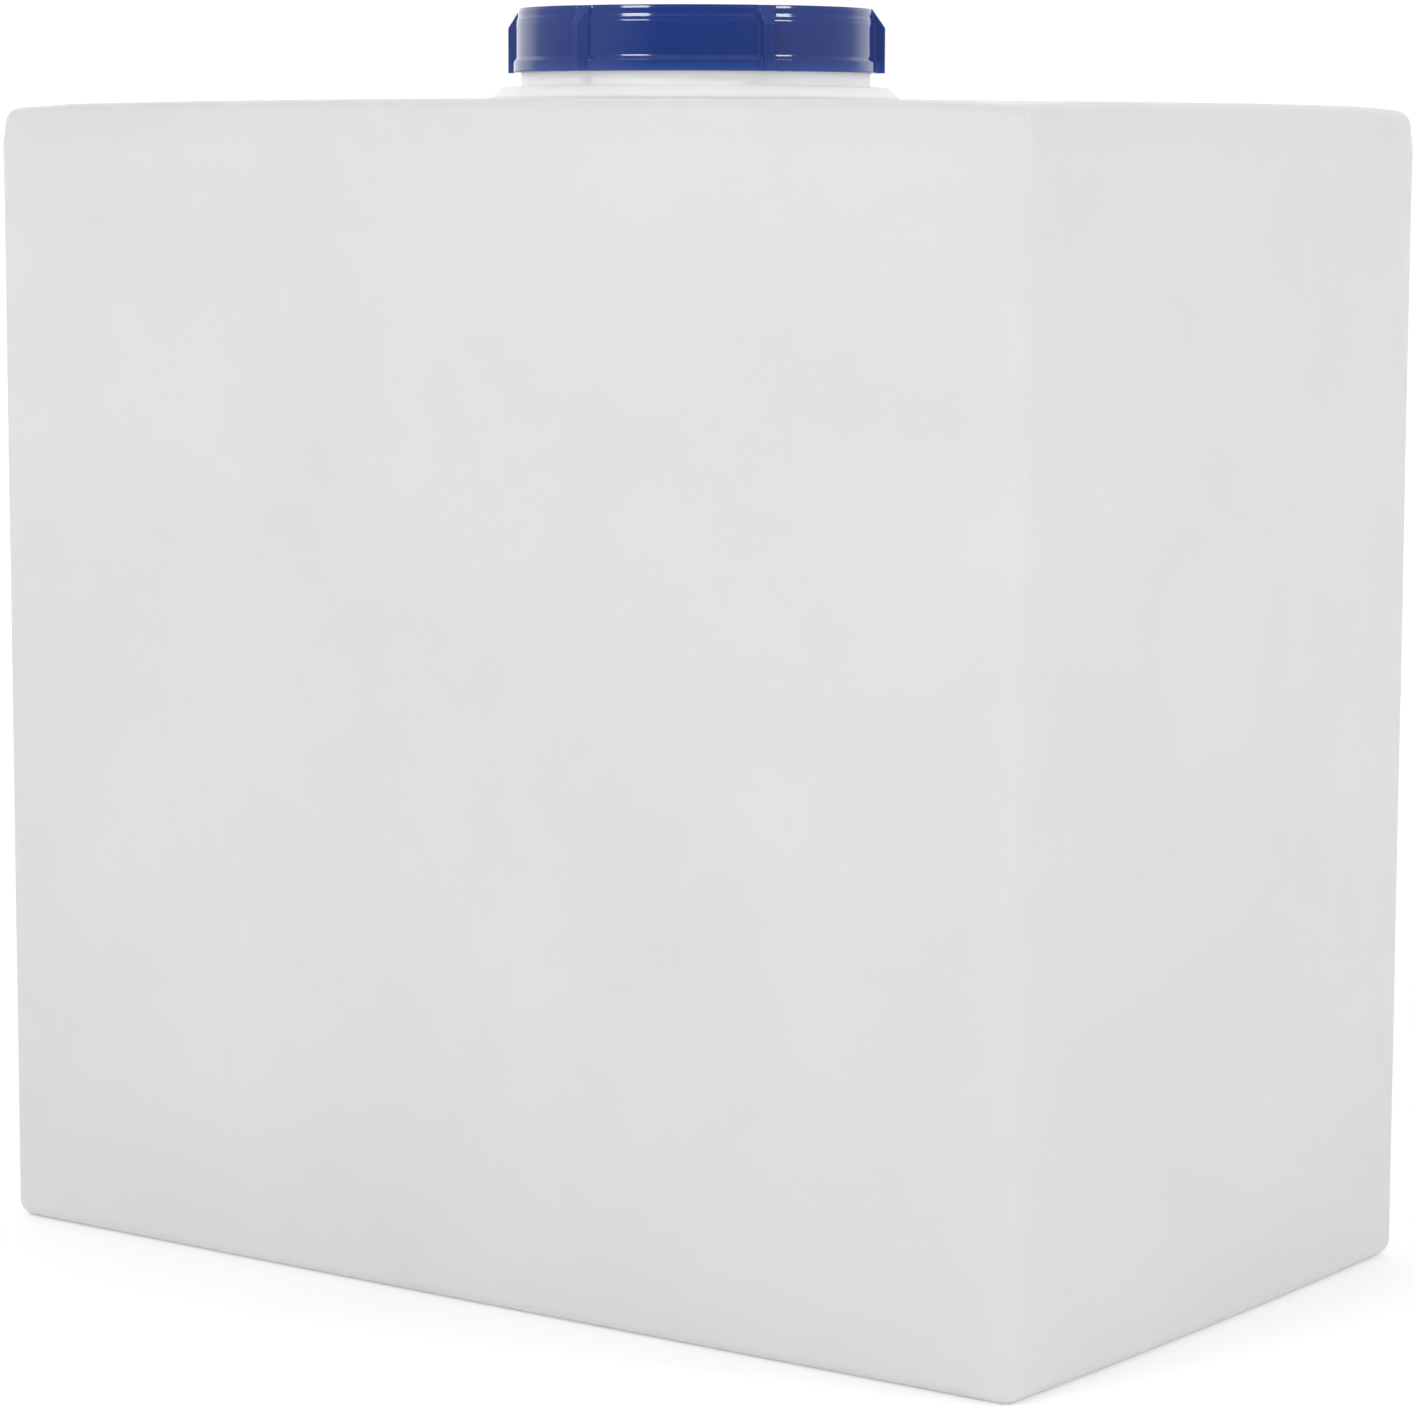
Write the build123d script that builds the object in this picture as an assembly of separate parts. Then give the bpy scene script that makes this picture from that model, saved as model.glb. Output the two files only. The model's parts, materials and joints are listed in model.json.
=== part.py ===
from build123d import *
import os

# A vented expansion tank: a rectangular, rotationally moulded polyethylene tank with a wide screw
# lid on a moulded neck, a breather in the lid, and two bulkhead connectors on the rear end wall.
#
# Frame: the origin is the centre of the underside, +X runs along the length and +Z is up. The
# connectors are on the -X end wall. All dimensions are millimetres.

# Tank walls: the plan is a rectangle whose four sides bow outwards between the corners.
CORNER_LENGTH = 591.0
CORNER_WIDTH = 346.0
END_BOW = 3.2
SIDE_BOW = 1.7
WALL = 4.5
UPRIGHT_EDGE_RADIUS = 10.0
BOTTOM_EDGE_RADIUS = 8.0
TOP_EDGE_RADIUS = 8.0

# Above the mould's parting line the walls lean in, and the top wall is a shallow dome.
PARTING_HEIGHT = 531.0
PARTING_RIDGE_HEIGHT = 1.4
PARTING_RIDGE_PROUD = 0.5
TOP_LEAN_DEGREES = 6.0
TOP_HEIGHT = 553.2
DOME_RADIUS = 18275.0

# Neck: a low boss, then a collar that the lid's skirt comes down over, then the threaded rim.
BOSS_BASE_RADIUS = 99.0
BOSS_BASE_HEIGHT = 553.0
BOSS_TOP_RADIUS = 91.5
BOSS_TOP_HEIGHT = 558.9
COLLAR_RADIUS = 83.1
COLLAR_TOP_HEIGHT = 568.0
NECK_ROOT_RADIUS = 80.0
NECK_BORE_RADIUS = 75.0
NECK_TOP_HEIGHT = 581.2
BOSS_SHOULDER_RADIUS = 1.8
BOSS_SKIRT = 4.0
NECK_EDGE_CHAMFER = 0.8

# Coarse right-hand thread between neck and lid. Both ridges are the same trapezium.
THREAD_PITCH = 8.0
RIDGE_HEIGHT = 2.2
RIDGE_BASE = 3.6
RIDGE_CREST = 1.8
RIDGE_SINK = 0.8
THREAD_RISE = 7.9
NECK_THREAD_START = 570.6
NECK_THREAD_DEGREES = 17.0
LID_THREAD_START = 572.4
THREAD_OFFSET = 3.0

# Screw lid.
LID_BOTTOM = 565.7
LID_HEIGHT = 30.2
LID_TOP = LID_BOTTOM + LID_HEIGHT
LID_BAND_RADIUS = 87.0
LID_SIDE_RADIUS = 85.8
LID_CROWN_RADIUS = 84.8
LID_ROOT_RADIUS = 82.6
LID_RELIEF_RADIUS = 84.0
LID_DISH_RADIUS = 81.4
LID_DISH_DEPTH = 8.9
LID_FLOOR_THICKNESS = 2.8
LID_FLOOR_TOP = LID_TOP - LID_DISH_DEPTH
LID_UNDERSIDE = LID_FLOOR_TOP - LID_FLOOR_THICKNESS
LID_PLUG_RADIUS = 74.4
LID_PLUG_THICKNESS = 1.8
LID_PLUG_DEPTH = 5.2
LID_PLUG_TAPER = 0.5
LID_BAND_TOP = LID_BOTTOM + 4.3
LID_SIDE_BOTTOM = LID_BOTTOM + 7.0
LID_SIDE_TOP = LID_TOP - 8.2
LID_CROWN_BOTTOM = LID_TOP - 5.5
LID_RELIEF_TOP = LID_BOTTOM + 3.7
LID_ROOT_BOTTOM = LID_BOTTOM + 4.7
LID_RIM_ROUNDING = 1.4
LID_EDGE_CHAMFER = 0.5
LID_DISH_CORNER = 1.5
LID_DISH_DRAFT = 0.6
LID_BEAD_RADIUS = 56.0
LID_BEAD_WIDTH = 3.0
LID_BEAD_HEIGHT = 1.0

# Grip ribs on the lid.
RIB_COUNT = 6
RIB_CLOCKING_DEGREES = 28.7
RIB_TIP_RADIUS = 90.6
RIB_TIP_WIDTH = 3.5
RIB_BASE_WIDTH = 8.0
RIB_CHAMFER_DROP = 8.9
RIB_CHAMFER_TOP_RADIUS = 85.4
RIB_TOP = LID_TOP - 0.6
RIB_ROOT_RADIUS = LID_CROWN_RADIUS - 1.0
RIB_EDGE_RADIUS = 0.45

# Gasket on the neck's rim.
GASKET_INNER_RADIUS = 75.4
GASKET_OUTER_RADIUS = 79.8
GASKET_CHAMFER = 0.3

# Breather in the lid's centre, kept below the lid's rim.
BREATHER_SHANK_RADIUS = 6.2
BREATHER_BORE_RADIUS = 3.0
BREATHER_FLANGE_RADIUS = 12.5
BREATHER_WASHER_THICKNESS = 1.2
BREATHER_SHANK_END = 578.6
BREATHER_SEAT_RISE = 1.4
BREATHER_POCKET_RADIUS = 7.4
BREATHER_POCKET_DEPTH = 2.0
BREATHER_DISC_RADIUS = 6.7
BREATHER_DISC_THICKNESS = 1.0
BREATHER_STEM_RADIUS = 2.4
BREATHER_STEM_LENGTH = 4.0
BREATHER_CAP_RADIUS = 14.2
BREATHER_CAP_WALL = 1.4
BREATHER_CAP_TOP_THICKNESS = 2.0
BREATHER_SLOT_COUNT = 6
BREATHER_SLOT_WIDTH = 3.0
BREATHER_NUT_FLATS = 19.0
BREATHER_NUT_THICKNESS = 5.0
BREATHER_HOLE_CLEARANCE = 0.2
BREATHER_SHANK_CHAMFER = 0.8
BREATHER_CAP_LIFT = 0.6
BREATHER_CAP_AIR_GAP = 1.0
BREATHER_CAP_FOOT_GAP = 1.2
BREATHER_CAP_FOOT_THICKNESS = 1.4
BREATHER_SLOT_LENGTH = 8.6

# Hexagonal nuts: chamfer on the corners of the outer face.
NUT_FACE_INSET = 0.6
NUT_ENVELOPE_RATIO = 0.62
NUT_CHAMFER_SLOPE = 0.45

# Bulkhead connectors: pipe-thread major radius, thread radius inside the nut, bore, across-flats
# size of the nut, flange radius, and height of the axis.
CONNECTORS = {
    "outlet": dict(major=16.62, engaged=16.2, bore=12.5, flats=46.0, flange=27.0, height=60.0),
    "overflow": dict(major=13.22, engaged=12.8, bore=9.5, flats=38.0, flange=23.0, height=478.0),
}
PAD_MARGIN = 5.0
PAD_PROUD = 1.0
PAD_THICKNESS = 8.0
PAD_EDGE_RADIUS = 0.8
SEAL_THICKNESS = 3.0
FLANGE_THICKNESS = 5.0
SLIP_WASHER_THICKNESS = 1.5
NUT_THICKNESS = 10.0
FREE_THREAD_LENGTH = 19.0
THREAD_END_CHAMFER = 1.0
HOLE_CLEARANCE = 0.4
REAR_PAD_FACE = -(CORNER_LENGTH / 2 + END_BOW + PAD_PROUD)


def turned(points):
    """Solid of revolution about Z, from a closed outline of (radius, height) points."""
    outline = make_face(Plane.XZ * Polyline(*points, close=True))
    return revolve(outline, Axis.Z)


def tube(outer_radius, inner_radius, low, high):
    """Round tube on the Z axis between two heights."""
    return turned([(inner_radius, low), (outer_radius, low), (outer_radius, high), (inner_radius, high)])


def plan_outline(inset):
    """Plan of the tank, inset from the outer walls: four bowed sides and rounded corners."""
    x = CORNER_LENGTH / 2 - inset
    y = CORNER_WIDTH / 2 - inset
    sides = [
        ThreePointArc((-x, -y), (0, -y - SIDE_BOW), (x, -y)),
        ThreePointArc((x, -y), (x + END_BOW, 0), (x, y)),
        ThreePointArc((x, y), (0, y + SIDE_BOW), (-x, y)),
        ThreePointArc((-x, y), (-x - END_BOW, 0), (-x, -y)),
    ]
    outline = make_face(sides)
    return fillet(outline.vertices(), UPRIGHT_EDGE_RADIUS - inset)


def tank_block(inset):
    """The tank's filled shape, inset from the outer surface all round."""
    outline = plan_outline(inset)
    shoulder_height = TOP_HEIGHT - PARTING_HEIGHT + 1.0
    walls = extrude(Pos(0, 0, inset) * outline, PARTING_HEIGHT - inset)
    shoulder = extrude(Pos(0, 0, PARTING_HEIGHT) * outline, shoulder_height, taper=TOP_LEAN_DEGREES)
    dome = Pos(0, 0, TOP_HEIGHT - inset - DOME_RADIUS) * Rot(90, 0, 0) * Sphere(DOME_RADIUS)
    block = (walls + shoulder) & dome
    block = fillet(block.faces().sort_by(Axis.Z)[-1].edges(), TOP_EDGE_RADIUS - inset)
    return fillet(block.faces().sort_by(Axis.Z)[0].edges(), BOTTOM_EDGE_RADIUS - inset)


def parting_ridge():
    """Fine ridge round the walls where the two halves of the mould meet."""
    ridge_base = PARTING_HEIGHT - PARTING_RIDGE_HEIGHT / 2
    ridge = extrude(Pos(0, 0, ridge_base) * plan_outline(-PARTING_RIDGE_PROUD), PARTING_RIDGE_HEIGHT)
    rims = ridge.edges().filter_by(Plane.XY)
    return chamfer(rims, PARTING_RIDGE_PROUD)


def neck_outside():
    """Boss, collar and threaded rim as one filled solid of revolution, reaching into the top wall."""
    neck = turned(
        [
            (0, TOP_HEIGHT - WALL),
            (BOSS_BASE_RADIUS + BOSS_SKIRT, TOP_HEIGHT - WALL),
            (BOSS_BASE_RADIUS + BOSS_SKIRT, BOSS_BASE_HEIGHT - 0.6),
            (BOSS_BASE_RADIUS, BOSS_BASE_HEIGHT),
            (BOSS_TOP_RADIUS, BOSS_TOP_HEIGHT),
            (COLLAR_RADIUS, BOSS_TOP_HEIGHT),
            (COLLAR_RADIUS, COLLAR_TOP_HEIGHT - 0.6),
            (COLLAR_RADIUS - 0.6, COLLAR_TOP_HEIGHT),
            (NECK_ROOT_RADIUS, COLLAR_TOP_HEIGHT + NECK_EDGE_CHAMFER),
            (NECK_ROOT_RADIUS, NECK_TOP_HEIGHT - NECK_EDGE_CHAMFER),
            (NECK_ROOT_RADIUS - NECK_EDGE_CHAMFER, NECK_TOP_HEIGHT),
            (0, NECK_TOP_HEIGHT),
        ]
    )
    shoulder_edges = neck.edges().filter_by(
        lambda edge: abs(edge.center(CenterOf.BOUNDING_BOX).Z - BOSS_TOP_HEIGHT) < 0.01
    )
    return fillet(shoulder_edges, BOSS_SHOULDER_RADIUS)


def neck_inside():
    """Space inside the neck: the hollow under the boss and the clear filler bore."""
    return turned(
        [
            (0, TOP_HEIGHT - WALL - 3.0),
            (BOSS_BASE_RADIUS - WALL, TOP_HEIGHT - WALL - 3.0),
            (BOSS_TOP_RADIUS - WALL, BOSS_TOP_HEIGHT - WALL),
            (NECK_BORE_RADIUS + 1.0, BOSS_TOP_HEIGHT - WALL),
            (NECK_BORE_RADIUS, BOSS_TOP_HEIGHT - WALL + 1.0),
            (NECK_BORE_RADIUS, NECK_TOP_HEIGHT + 1.0),
            (0, NECK_TOP_HEIGHT + 1.0),
        ]
    )


def thread_ridge(root_radius, direction, start_height, start_degrees):
    """Helical ridge standing out (direction 1) or in (direction -1) from a root cylinder."""
    flank_slope = (RIDGE_BASE - RIDGE_CREST) / 2 / RIDGE_HEIGHT
    sunk_width = RIDGE_BASE + 2 * flank_slope * RIDGE_SINK
    sunk = root_radius - direction * RIDGE_SINK
    crest = root_radius + direction * RIDGE_HEIGHT
    section = make_face(
        Plane.XZ
        * Polyline(
            (sunk, -sunk_width / 2),
            (crest, -RIDGE_CREST / 2),
            (crest, RIDGE_CREST / 2),
            (sunk, sunk_width / 2),
            close=True,
        )
    )
    ridge = sweep(section, Helix(THREAD_PITCH, THREAD_RISE, root_radius), is_frenet=True)
    return Pos(0, 0, start_height) * Rot(0, 0, start_degrees) * ridge


def on_rear_wall(height):
    """Plane of a connector's pad: its Z points out of the tank, away from the rear end wall."""
    return Plane(origin=(REAR_PAD_FACE, 0, height), x_dir=(0, 1, 0), z_dir=(-1, 0, 0))


def wall_pad(size):
    """Flat round pad through the rear wall, thicker than the wall on both sides."""
    pad = Pos(0, 0, -PAD_THICKNESS / 2) * Cylinder(size["flange"] + PAD_MARGIN, PAD_THICKNESS)
    return on_rear_wall(size["height"]) * fillet(pad.faces().sort_by(Axis.Z)[-1].edges(), PAD_EDGE_RADIUS)


def wall_hole(size):
    """Round hole through a pad, a little larger than the connector's thread."""
    hole = Pos(0, 0, -PAD_THICKNESS / 2) * Cylinder(size["major"] + HOLE_CLEARANCE, 2 * PAD_THICKNESS)
    return on_rear_wall(size["height"]) * hole


def tank_body():
    """The moulded tank: one hollow shell with its neck, thread, parting ridge and connector pads."""
    body = tank_block(0.0) + parting_ridge() + neck_outside()
    body -= tank_block(WALL)
    body -= neck_inside()
    body += thread_ridge(NECK_ROOT_RADIUS, 1, NECK_THREAD_START, NECK_THREAD_DEGREES)
    for size in CONNECTORS.values():
        body += wall_pad(size)
        body -= wall_hole(size)
    return body


def lid_shell():
    """The lid without ribs or thread: skirt, dished floor, and the plug rib that centres the gasket."""
    plug_inner = LID_PLUG_RADIUS - LID_PLUG_THICKNESS
    bead_inner = LID_BEAD_RADIUS - LID_BEAD_WIDTH
    dish_foot = LID_DISH_RADIUS - LID_DISH_DRAFT
    return turned(
        [
            (0, LID_UNDERSIDE),
            (plug_inner, LID_UNDERSIDE),
            (plug_inner, LID_UNDERSIDE - LID_PLUG_DEPTH),
            (LID_PLUG_RADIUS - LID_PLUG_TAPER, LID_UNDERSIDE - LID_PLUG_DEPTH),
            (LID_PLUG_RADIUS, LID_UNDERSIDE - LID_PLUG_DEPTH + 2 * LID_PLUG_TAPER),
            (LID_PLUG_RADIUS, LID_UNDERSIDE),
            (LID_ROOT_RADIUS, LID_UNDERSIDE),
            (LID_ROOT_RADIUS, LID_ROOT_BOTTOM),
            (LID_RELIEF_RADIUS, LID_RELIEF_TOP),
            (LID_RELIEF_RADIUS, LID_BOTTOM),
            (LID_BAND_RADIUS - LID_EDGE_CHAMFER, LID_BOTTOM),
            (LID_BAND_RADIUS, LID_BOTTOM + LID_EDGE_CHAMFER),
            (LID_BAND_RADIUS, LID_BAND_TOP),
            (LID_SIDE_RADIUS, LID_SIDE_BOTTOM),
            (LID_SIDE_RADIUS, LID_SIDE_TOP),
            (LID_CROWN_RADIUS, LID_CROWN_BOTTOM),
            (LID_CROWN_RADIUS, LID_TOP - LID_RIM_ROUNDING),
            (LID_CROWN_RADIUS - LID_EDGE_CHAMFER, LID_TOP - LID_EDGE_CHAMFER),
            (LID_CROWN_RADIUS - LID_RIM_ROUNDING, LID_TOP),
            (LID_DISH_RADIUS + LID_EDGE_CHAMFER, LID_TOP),
            (LID_DISH_RADIUS, LID_TOP - LID_EDGE_CHAMFER),
            (dish_foot, LID_FLOOR_TOP + LID_DISH_CORNER),
            (dish_foot - LID_DISH_CORNER, LID_FLOOR_TOP),
            (LID_BEAD_RADIUS + LID_BEAD_HEIGHT, LID_FLOOR_TOP),
            (LID_BEAD_RADIUS, LID_FLOOR_TOP + LID_BEAD_HEIGHT),
            (bead_inner, LID_FLOOR_TOP + LID_BEAD_HEIGHT),
            (bead_inner - LID_BEAD_HEIGHT, LID_FLOOR_TOP),
            (0, LID_FLOOR_TOP),
        ]
    )


def grip_rib():
    """One grip rib on the +X side: slanted flanks, a narrow tip, and a chamfered top."""
    plan = make_face(
        Polyline(
            (RIB_ROOT_RADIUS, -RIB_BASE_WIDTH / 2),
            (RIB_TIP_RADIUS + 1.0, -RIB_TIP_WIDTH / 2),
            (RIB_TIP_RADIUS + 1.0, RIB_TIP_WIDTH / 2),
            (RIB_ROOT_RADIUS, RIB_BASE_WIDTH / 2),
            close=True,
        )
    )
    envelope = turned(
        [
            (RIB_ROOT_RADIUS - 1.0, LID_BOTTOM),
            (RIB_TIP_RADIUS, LID_BOTTOM),
            (RIB_TIP_RADIUS, LID_TOP - RIB_CHAMFER_DROP),
            (RIB_CHAMFER_TOP_RADIUS, RIB_TOP),
            (RIB_ROOT_RADIUS - 1.0, RIB_TOP),
        ]
    )
    rib = extrude(Pos(0, 0, LID_BOTTOM) * plan, LID_HEIGHT) & envelope
    outer_edges = rib.edges().filter_by(lambda edge: edge.center().X > RIB_CHAMFER_TOP_RADIUS + 0.5)
    return fillet(outer_edges.filter_by(lambda edge: edge.center().Z > LID_BOTTOM + 1.0), RIB_EDGE_RADIUS)


def lid():
    """Screw lid: shell, six grip ribs, internal thread, and a hole for the breather."""
    rise_per_degree = THREAD_PITCH / 360.0
    thread_start = NECK_THREAD_START - THREAD_OFFSET
    start_degrees = NECK_THREAD_DEGREES + (LID_THREAD_START - thread_start) / rise_per_degree
    hole_radius = BREATHER_SHANK_RADIUS + BREATHER_HOLE_CLEARANCE
    part = lid_shell()
    rib = grip_rib()
    for index in range(RIB_COUNT):
        part += Rot(0, 0, RIB_CLOCKING_DEGREES + index * 360.0 / RIB_COUNT) * rib
    part += thread_ridge(LID_ROOT_RADIUS, -1, LID_THREAD_START, start_degrees)
    hole = Pos(0, 0, LID_UNDERSIDE) * Cylinder(hole_radius, 4 * LID_FLOOR_THICKNESS)
    return part - hole


def lid_gasket():
    """Flat rubber ring on the neck's rim."""
    ring = tube(GASKET_OUTER_RADIUS, GASKET_INNER_RADIUS, NECK_TOP_HEIGHT, LID_UNDERSIDE)
    return chamfer(ring.edges().group_by(Axis.Z)[0], GASKET_CHAMFER)


def hexagon_nut(flats, thickness, bore_radius):
    """Hexagonal nut standing on z = 0, with its top corners chamfered and a plain bore."""
    blank = extrude(RegularPolygon(flats / 2, 6, major_radius=False), thickness)
    chamfer_radius = flats / 2 - NUT_FACE_INSET
    outer_radius = flats * NUT_ENVELOPE_RATIO
    chamfer_drop = (outer_radius - chamfer_radius) * NUT_CHAMFER_SLOPE
    envelope = turned(
        [
            (0, -1.0),
            (outer_radius, -1.0),
            (outer_radius, thickness - chamfer_drop),
            (chamfer_radius, thickness),
            (0, thickness),
        ]
    )
    bore = Pos(0, 0, thickness / 2) * Cylinder(bore_radius, 2 * thickness)
    return (blank & envelope) - bore


def breather_levels():
    """Heights of the breather's washer top, seat and flange top."""
    washer_top = LID_FLOOR_TOP + BREATHER_WASHER_THICKNESS
    seat = washer_top + BREATHER_SEAT_RISE
    return washer_top, seat, seat + BREATHER_POCKET_DEPTH


def breather_washer():
    """Rubber washer between the lid and the breather's flange."""
    washer_top = breather_levels()[0]
    return tube(BREATHER_FLANGE_RADIUS - 1.0, BREATHER_SHANK_RADIUS, LID_FLOOR_TOP, washer_top)


def breather_body():
    """Vent fitting: a shank through the lid, a flange above it, and a pocket for the check disc."""
    washer_top, seat, flange_top = breather_levels()
    return turned(
        [
            (BREATHER_BORE_RADIUS, BREATHER_SHANK_END),
            (BREATHER_SHANK_RADIUS - BREATHER_SHANK_CHAMFER, BREATHER_SHANK_END),
            (BREATHER_SHANK_RADIUS, BREATHER_SHANK_END + BREATHER_SHANK_CHAMFER),
            (BREATHER_SHANK_RADIUS, washer_top),
            (BREATHER_FLANGE_RADIUS, washer_top),
            (BREATHER_FLANGE_RADIUS, flange_top - 0.4),
            (BREATHER_FLANGE_RADIUS - 0.4, flange_top),
            (BREATHER_POCKET_RADIUS, flange_top),
            (BREATHER_POCKET_RADIUS, seat),
            (BREATHER_BORE_RADIUS, seat),
        ]
    )


def breather_nut():
    """Back nut under the lid."""
    nut = hexagon_nut(BREATHER_NUT_FLATS, BREATHER_NUT_THICKNESS, BREATHER_SHANK_RADIUS)
    return Pos(0, 0, LID_UNDERSIDE) * Rot(180, 0, 0) * nut


def breather_disc():
    """Loose check disc on the seat, with a stem that keeps it centred in the bore."""
    seat = breather_levels()[1]
    return turned(
        [
            (0, seat - BREATHER_STEM_LENGTH),
            (BREATHER_STEM_RADIUS - 0.5, seat - BREATHER_STEM_LENGTH),
            (BREATHER_STEM_RADIUS, seat - BREATHER_STEM_LENGTH + 0.5),
            (BREATHER_STEM_RADIUS, seat),
            (BREATHER_DISC_RADIUS, seat),
            (BREATHER_DISC_RADIUS, seat + BREATHER_DISC_THICKNESS - 0.2),
            (BREATHER_DISC_RADIUS - 0.2, seat + BREATHER_DISC_THICKNESS),
            (0, seat + BREATHER_DISC_THICKNESS),
        ]
    )


def breather_cap():
    """Cap over the vent: it stands on the flange on a slotted ring, and its skirt is slotted too."""
    washer_top, _, flange_top = breather_levels()
    plate_bottom = flange_top + BREATHER_CAP_AIR_GAP
    foot_inner = BREATHER_POCKET_RADIUS + BREATHER_CAP_FOOT_GAP
    foot_outer = foot_inner + BREATHER_CAP_FOOT_THICKNESS
    plate_top = plate_bottom + BREATHER_CAP_TOP_THICKNESS
    skirt_inner = BREATHER_CAP_RADIUS - BREATHER_CAP_WALL
    cap = turned(
        [
            (0, plate_bottom),
            (skirt_inner, plate_bottom),
            (skirt_inner, washer_top + BREATHER_CAP_LIFT),
            (BREATHER_CAP_RADIUS, washer_top + BREATHER_CAP_LIFT),
            (BREATHER_CAP_RADIUS, plate_top - 1.0),
            (BREATHER_CAP_RADIUS - 1.0, plate_top),
            (0, plate_top),
        ]
    )
    cap += tube(foot_outer, foot_inner, flange_top, plate_bottom + 0.5)
    slot_middle = (BREATHER_POCKET_RADIUS + BREATHER_CAP_RADIUS) / 2 + 1.0
    slot_height = 2 * (plate_bottom - washer_top)
    slot = Pos(slot_middle, 0, washer_top) * Box(BREATHER_SLOT_LENGTH, BREATHER_SLOT_WIDTH, slot_height)
    for index in range(BREATHER_SLOT_COUNT):
        cap -= Rot(0, 0, index * 360.0 / BREATHER_SLOT_COUNT) * slot
    return cap


def connector_body(size):
    """Bulkhead connector: round flange inside the tank and a threaded, bored shank through the wall."""
    flange_face = -PAD_THICKNESS - SEAL_THICKNESS
    nut_face = SLIP_WASHER_THICKNESS + NUT_THICKNESS
    end = nut_face + FREE_THREAD_LENGTH
    flange_back = flange_face - FLANGE_THICKNESS
    shape = turned(
        [
            (size["bore"], flange_back),
            (size["flange"] - 1.0, flange_back),
            (size["flange"], flange_back + 1.0),
            (size["flange"], flange_face),
            (size["engaged"], flange_face),
            (size["engaged"], nut_face),
            (size["major"], nut_face),
            (size["major"], end - THREAD_END_CHAMFER),
            (size["major"] - THREAD_END_CHAMFER, end),
            (size["bore"], end),
        ]
    )
    return on_rear_wall(size["height"]) * shape


def connector_seal(size):
    """Rubber seal between the flange and the pad inside the tank."""
    seal = tube(size["flange"] - 1.0, size["engaged"], -PAD_THICKNESS - SEAL_THICKNESS, -PAD_THICKNESS)
    return on_rear_wall(size["height"]) * seal


def connector_washer(size):
    """Slip washer between the pad and the back nut."""
    washer = tube(size["flange"] - 0.5, size["engaged"], 0.0, SLIP_WASHER_THICKNESS)
    return on_rear_wall(size["height"]) * washer


def connector_nut(size):
    """Back nut that clamps the connector to the wall."""
    nut = Pos(0, 0, SLIP_WASHER_THICKNESS) * hexagon_nut(size["flats"], NUT_THICKNESS, size["engaged"])
    return on_rear_wall(size["height"]) * nut


def build_parts():
    """Every sub-part by node name."""
    parts = {
        "tank_body": tank_body(),
        "lid": lid(),
        "lid_gasket": lid_gasket(),
        "breather_body": breather_body(),
        "breather_washer": breather_washer(),
        "breather_nut": breather_nut(),
        "breather_disc": breather_disc(),
        "breather_cap": breather_cap(),
    }
    for name, size in CONNECTORS.items():
        parts[f"{name}_body"] = connector_body(size)
        parts[f"{name}_seal"] = connector_seal(size)
        parts[f"{name}_washer"] = connector_washer(size)
        parts[f"{name}_nut"] = connector_nut(size)
    return parts


os.makedirs("parts", exist_ok=True)
for node, part in build_parts().items():
    export_step(part, f"parts/{node}.step")
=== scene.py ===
import json
import math

import bmesh
import bpy
import numpy as np
from mathutils import Matrix, Vector, noise


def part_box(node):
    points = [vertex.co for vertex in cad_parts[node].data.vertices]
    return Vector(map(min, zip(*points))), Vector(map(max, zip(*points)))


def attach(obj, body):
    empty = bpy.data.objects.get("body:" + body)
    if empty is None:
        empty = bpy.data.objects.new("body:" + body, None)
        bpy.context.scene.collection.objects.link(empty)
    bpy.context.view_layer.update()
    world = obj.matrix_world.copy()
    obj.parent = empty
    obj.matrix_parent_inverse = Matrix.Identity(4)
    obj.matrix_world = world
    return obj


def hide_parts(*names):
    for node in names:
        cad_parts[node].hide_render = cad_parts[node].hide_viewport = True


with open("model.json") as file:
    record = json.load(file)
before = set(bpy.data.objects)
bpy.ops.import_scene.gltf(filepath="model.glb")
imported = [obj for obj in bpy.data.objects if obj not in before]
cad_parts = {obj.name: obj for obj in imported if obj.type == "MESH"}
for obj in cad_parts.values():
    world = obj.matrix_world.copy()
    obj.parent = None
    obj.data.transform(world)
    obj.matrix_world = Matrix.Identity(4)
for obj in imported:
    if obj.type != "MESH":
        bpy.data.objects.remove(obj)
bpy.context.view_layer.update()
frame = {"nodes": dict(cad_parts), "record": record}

MM = 0.001
SHARP_ANGLE = math.radians(42.0)
ARC_STEP = 0.35

# The tank's plan: four bowed sides with rounded corners, millimetres, as in the CAD model.
HALF_LENGTH = 295.5
HALF_WIDTH = 173.0
END_BOW = 3.2
SIDE_BOW = 1.7
CORNER_RADIUS = 10.0
WALL = 4.5
BOTTOM_RADIUS = 8.0
TOP_RADIUS = 7.8
PARTING = 531.0
TOP_LEAN = math.radians(6.0)
TOP_HEIGHT = 553.2
DOME_RADIUS = 18275.0
BOSS_FOOT = 104.0
BOSS_TOP = 558.9
COLLAR = 83.1
NECK_BORE = 75.0

# Inside of the tank: radius of its lower and upper edges.
INNER_EDGE = 3.5

# The walls swell a little round the parting, over this reach above and below it.
SWELL = 0.3
SWELL_REACH = 8.0

# The top sinks a little towards its four corners.
CORNER_SAG = 1.3
CORNER_SAG_REACH = 30.0

# Slow unevenness of the moulded walls and top: its depth, then spacing and seed of a coarse and a fine part.
WALL_WAVER = 0.28
WALL_WAVES = ((150.0, 3.0), (45.0, 8.0))
TOP_WAVER = 0.3
TOP_WAVES = ((120.0, 12.0), (40.0, 5.0))
FINE_SHARE = 0.35

# Columns round the tank: segments on each end, side and corner.
END_SEGMENTS = 40
SIDE_SEGMENTS = 64
CORNER_SEGMENTS = 10

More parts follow.
